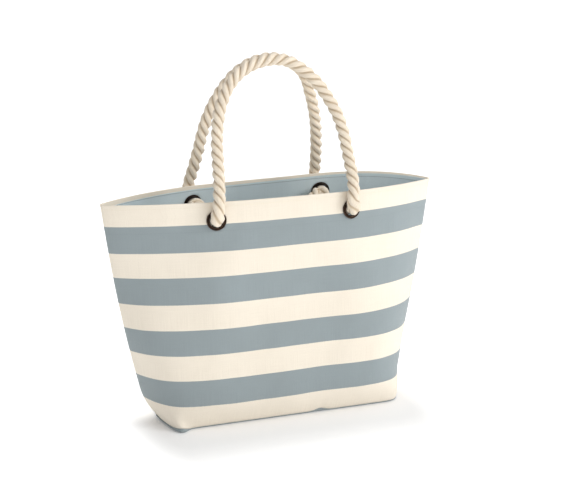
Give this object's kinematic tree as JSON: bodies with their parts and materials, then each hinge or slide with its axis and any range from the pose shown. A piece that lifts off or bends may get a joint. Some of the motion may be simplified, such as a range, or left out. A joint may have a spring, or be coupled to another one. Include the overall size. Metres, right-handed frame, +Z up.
{
  "type": "beach bag",
  "caption": "Boxed canvas beach tote in wide cream and blue-grey stripes, with loop handles of twisted rope knotted through metal eyelets.",
  "frame": {"origin": "on the floor under the middle of the base", "axes": "+Z up, +X along the bag's width to the right seen from the front, -Y out of the front panel"},
  "size_m": [0.5176, 0.1682, 0.5353],
  "materials": {
    "striped_canvas": "plain-weave canvas, cream with four blue-grey stripes",
    "blue_grey_cloth": "plain-weave cotton",
    "stiffener_board": "raw pressed board",
    "antique_bronze": "dark antique bronze plating, worn bright on the ridges",
    "cotton_rope": "three-strand twisted natural cotton, slightly fuzzy",
    "whipping_twine": "waxed cotton twine"
  },
  "bodies": {
    "bag": {"front_panel": "striped_canvas", "back_panel": "striped_canvas", "base_panel": "blue_grey_cloth", "front_lining": "blue_grey_cloth", "back_lining": "blue_grey_cloth", "base_lining": "blue_grey_cloth", "base_board": "stiffener_board", "eyelet_front_left": "antique_bronze", "eyelet_front_right": "antique_bronze", "eyelet_back_left": "antique_bronze", "eyelet_back_right": "antique_bronze", "washer_front_left": "antique_bronze", "washer_front_right": "antique_bronze", "washer_back_left": "antique_bronze", "washer_back_right": "antique_bronze", "rope_end_front_left": "cotton_rope", "rope_end_front_right": "cotton_rope", "rope_end_back_left": "cotton_rope", "rope_end_back_right": "cotton_rope", "whipping_front_left": "whipping_twine", "whipping_front_right": "whipping_twine", "whipping_back_left": "whipping_twine", "whipping_back_right": "whipping_twine"},
    "front_handle": {"front_handle": "cotton_rope"},
    "back_handle": {"back_handle": "cotton_rope"}
  },
  "joints": [
    {"name": "front_handle_swing", "type": "hinge", "parent": "bag", "child": "front_handle", "pos_m": [-0.0023, -0.07643, 0.30894], "axis": [1, -0.0035, 0.0003], "range_deg": [0, 186]},
    {"name": "back_handle_swing", "type": "hinge", "parent": "bag", "child": "back_handle", "pos_m": [-0.0035, 0.07084, 0.31034], "axis": [0.9997, 0.0169, 0.0151], "range_deg": [-184, 0]}
  ]
}
